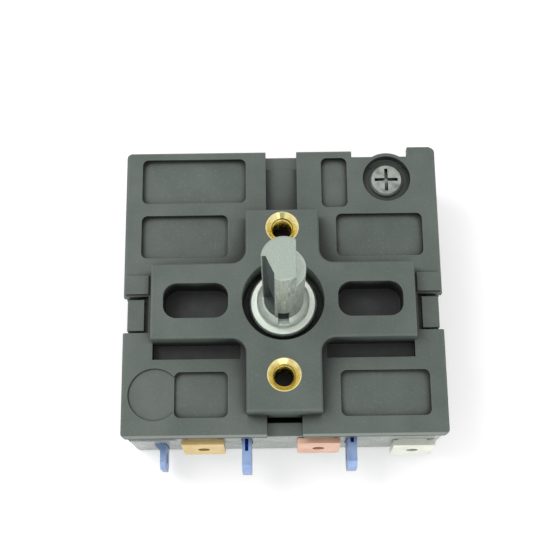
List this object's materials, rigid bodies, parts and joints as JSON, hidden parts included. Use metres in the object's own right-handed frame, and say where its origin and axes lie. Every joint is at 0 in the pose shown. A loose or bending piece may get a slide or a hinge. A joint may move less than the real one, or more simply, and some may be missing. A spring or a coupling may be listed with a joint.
{
  "type": "infinite switch",
  "caption": "Infinite switch for a cooking zone: flat moulded case with a cross-shaped mounting boss, threaded inserts, a push-to-turn shaft with a flat, and spade terminals along one edge",
  "frame": {"origin": "where the shaft's axis meets the front face of the cross-shaped boss, midway between the threaded inserts", "axes": "+Z along the shaft towards the knob, +Y away from the terminals, +X to the right seen from the front"},
  "size_m": [0.048, 0.0496, 0.041],
  "materials": {
    "cover_phenolic": "black-grey moulded phenolic, smooth with a fine grain",
    "base_phenolic": "black-grey moulded phenolic, plain",
    "shaft_zinc": "bright die-cast zinc, lightly tumbled",
    "spring_steel": "drawn spring steel",
    "white_nylon": "natural glass-filled nylon",
    "turned_brass": "turned brass",
    "screw_zinc": "zinc-plated steel",
    "bimetal": "rolled bimetal strip",
    "rivet_steel": "nickel-plated steel",
    "mica_sleeve": "mica sleeve with a resistance winding",
    "bronze_strip": "rolled phosphor bronze",
    "contact_silver": "silver contact alloy",
    "tinned_strip": "tin-plated brass, satin",
    "zinc_tab": "bright zinc-plated steel with a bluish cast",
    "brass_tab": "stamped brass sheet",
    "copper_tab": "stamped copper sheet"
  },
  "bodies": {
    "case": {"front_cover": "cover_phenolic", "base": "base_phenolic", "threaded_inserts": "turned_brass", "follower_pin": "spring_steel", "fixed_contact": "contact_silver", "blade_bracket": "tinned_strip", "terminal_left": "zinc_tab", "terminal_middle": "zinc_tab", "terminal_right": "zinc_tab", "terminal_brass": "brass_tab", "terminal_copper": "copper_tab", "terminal_tinned": "tinned_strip", "line_blade": "bronze_strip", "line_moving_contact": "contact_silver", "line_fixed_contact": "contact_silver", "pilot_blade": "bronze_strip", "pilot_moving_contact": "contact_silver", "pilot_fixed_contact": "contact_silver", "terminal_rivets": "rivet_steel"},
    "cam": {"cam_wheel": "white_nylon", "return_spring": "spring_steel"},
    "knob_shaft": {"shaft": "shaft_zinc", "shaft_clip": "spring_steel"},
    "follower": {"cam_follower": "white_nylon", "bimetal_strip": "bimetal", "bimetal_rivets": "rivet_steel", "heater_element": "mica_sleeve"},
    "snap": {"snap_blade": "bronze_strip", "moving_contact": "contact_silver"},
    "adjuster": {"calibration_screw": "screw_zinc"}
  },
  "joints": [
    {"name": "knob_turn", "type": "hinge", "parent": "case", "child": "cam", "pos_m": [0, 0, 0], "axis": [0, 0, -1], "range_deg": [0, 270]},
    {"name": "shaft_push", "type": "slide", "parent": "cam", "child": "knob_shaft", "axis": [0, 0, -1], "range_m": [0, 0.002], "stiffness_N_per_m": 2000, "springref_m": -0.0015, "deforming": ["return_spring"]},
    {"name": "follower_rock", "type": "hinge", "parent": "case", "child": "follower", "pos_m": [0.015, 0.0125, 0], "axis": [0, 0, 1], "range_deg": [0, 3.67]},
    {"name": "snap_blade_bend", "type": "hinge", "parent": "case", "child": "snap", "pos_m": [0.0095, 0.01465, 0], "axis": [0, 0, -1], "range_deg": [0, 2.5], "stiffness_Nm_per_rad": 0.1, "springref_deg": -3.44},
    {"name": "calibration_turn", "type": "hinge", "parent": "case", "child": "adjuster", "pos_m": [0.01635, 0.0201, 0], "axis": [0, 0, 1], "range_deg": [-90, 90]}
  ],
  "couplings": [
    {"joint": "follower_rock", "follows": "knob_turn", "ratio": 0.013581}
  ]
}
